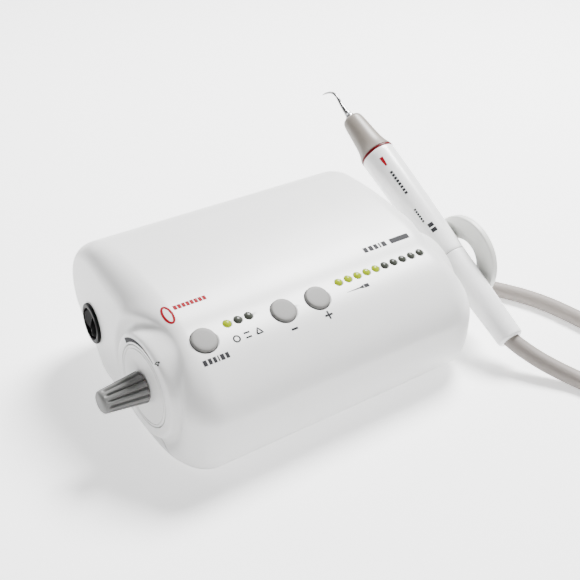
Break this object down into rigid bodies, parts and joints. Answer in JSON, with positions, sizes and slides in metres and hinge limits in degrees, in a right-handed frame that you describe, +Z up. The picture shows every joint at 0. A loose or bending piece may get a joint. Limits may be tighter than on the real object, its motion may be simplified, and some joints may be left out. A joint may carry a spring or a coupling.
{
  "type": "ultrasonic scaler",
  "caption": "Tabletop dental ultrasonic scaler: rounded housing with water knob, rocker switch and sloping button panel, cabled handpiece lying in a side holder.",
  "frame": {"origin": "on the table plane under the middle of the object's box, cable left out", "axes": "+X along the housing from the water knob to the handpiece, -Y the front with the sloping panel, +Z up"},
  "size_m": [0.3172, 0.3426, 0.1058],
  "materials": {
    "shell_white": "fine satin moulded plastic",
    "panel_grey": "matt moulded plastic",
    "foot_rubber": "matt rubber",
    "steel": "bright machined steel",
    "board_green": "solder mask",
    "ferrite_wrap": "tape wrapped",
    "copper_winding": "enamelled wire",
    "sink_aluminium": "anodised",
    "black_plastic": "matt",
    "capacitor_sleeve": "heat shrunk sleeve",
    "led_lit": "glowing clear lens",
    "led_unlit": "dark clear lens",
    "button_grey": "satin",
    "dial_white": "satin",
    "knob_grey": "satin",
    "brass": "machined",
    "black_rubber": "smooth rubber",
    "switch_black": "fine spark texture",
    "solenoid_blue": "smooth",
    "hose_clear": "translucent",
    "holder_white": "satin, faintly warm",
    "gland_grey": "soft matt",
    "cable_silicone": "matt silicone jacket",
    "tie_black": "woven hook and loop",
    "handpiece_white": "polished",
    "contact_gold": "plated",
    "ring_red": "gloss",
    "nose_taupe": "satin",
    "light_guide": "clear moulded light guide",
    "ceramic": "fired ceramic",
    "tip_steel": "polished"
  },
  "bodies": {
    "console": {"upper_shell": "shell_white", "base_plate": "shell_white", "rear_panel": "panel_grey", "rubber_feet": "foot_rubber", "case_screws": "steel", "main_board": "board_green", "board_screws": "steel", "output_transformer": "ferrite_wrap", "filter_inductor": "copper_winding", "heat_sink": "sink_aluminium", "power_transistors": "black_plastic", "capacitors": "capacitor_sleeve", "control_chips": "black_plastic", "display_board": "board_green", "tact_switches": "black_plastic", "level_leds_lit": "led_lit", "level_leds_unlit": "led_unlit", "mode_led_lit": "led_lit", "mode_leds_unlit": "led_unlit", "knob_dial": "dial_white", "valve_body": "brass", "valve_nut": "steel", "stem_seal": "black_rubber", "switch_bezel": "switch_black", "rocker_pin": "steel", "switch_terminals": "brass", "solenoid_valve": "solenoid_blue", "water_inlet": "steel", "water_hoses": "hose_clear", "pedal_jack": "black_plastic", "power_jack": "black_plastic", "handpiece_holder": "holder_white", "holder_screws": "steel", "cable_gland": "gland_grey", "gland_nut": "steel", "cable_supply_run": "cable_silicone", "cable_coil": "cable_silicone", "cable_tie": "tie_black", "cable_return_run": "cable_silicone", "connector_shell": "handpiece_white", "connector_plug": "black_plastic", "plug_seals": "black_rubber", "contact_pins": "contact_gold"},
    "option_key": {"option_button": "button_grey"},
    "minus_key": {"minus_button": "button_grey"},
    "plus_key": {"plus_button": "button_grey"},
    "knob": {"water_knob": "knob_grey", "valve_stem": "brass"},
    "needle": {"valve_needle": "steel"},
    "rocker": {"power_rocker": "switch_black"},
    "plunger": {"solenoid_plunger": "steel"},
    "handpiece": {"handpiece_sleeve": "handpiece_white", "accent_ring": "ring_red", "nose_cone": "nose_taupe", "light_ring": "light_guide", "lamp_board": "board_green", "horn": "steel", "piezo_stack": "ceramic", "back_mass": "steel", "scaler_tip": "tip_steel"}
  },
  "joints": [
    {"name": "option_button_press", "type": "slide", "parent": "console", "child": "option_key", "axis": [0, 0.4676, -0.8839], "range_m": [0, 0.0006], "stiffness_N_per_m": 600, "springref_m": -0.0012},
    {"name": "minus_button_press", "type": "slide", "parent": "console", "child": "minus_key", "axis": [0, 0.4676, -0.8839], "range_m": [0, 0.0006], "stiffness_N_per_m": 600, "springref_m": -0.0012},
    {"name": "plus_button_press", "type": "slide", "parent": "console", "child": "plus_key", "axis": [0, 0.4676, -0.8839], "range_m": [0, 0.0006], "stiffness_N_per_m": 600, "springref_m": -0.0012},
    {"name": "water_knob_turn", "type": "hinge", "parent": "console", "child": "knob", "pos_m": [-0.0895, -0.0358, 0.0362], "axis": [-1, 0, 0], "range_deg": [0, 270]},
    {"name": "valve_needle_travel", "type": "slide", "parent": "console", "child": "needle", "axis": [-1, 0, 0], "range_m": [0, 0.0008]},
    {"name": "power_rocker_tilt", "type": "hinge", "parent": "console", "child": "rocker", "pos_m": [-0.08031, 0.02702, 0.0353], "axis": [0, 0, 1], "range_deg": [0, 16]},
    {"name": "solenoid_plunger_lift", "type": "slide", "parent": "console", "child": "plunger", "axis": [0, 0, 1], "range_m": [0, 0.002], "stiffness_N_per_m": 200, "springref_m": -0.002},
    {"name": "handpiece_pull_off", "type": "slide", "parent": "console", "child": "handpiece", "axis": [0, 0.8678, 0.497], "range_m": [0, 0.016]}
  ],
  "couplings": [
    {"joint": "valve_needle_travel", "follows": "water_knob_turn", "m_per_rad": 0.00015915}
  ]
}
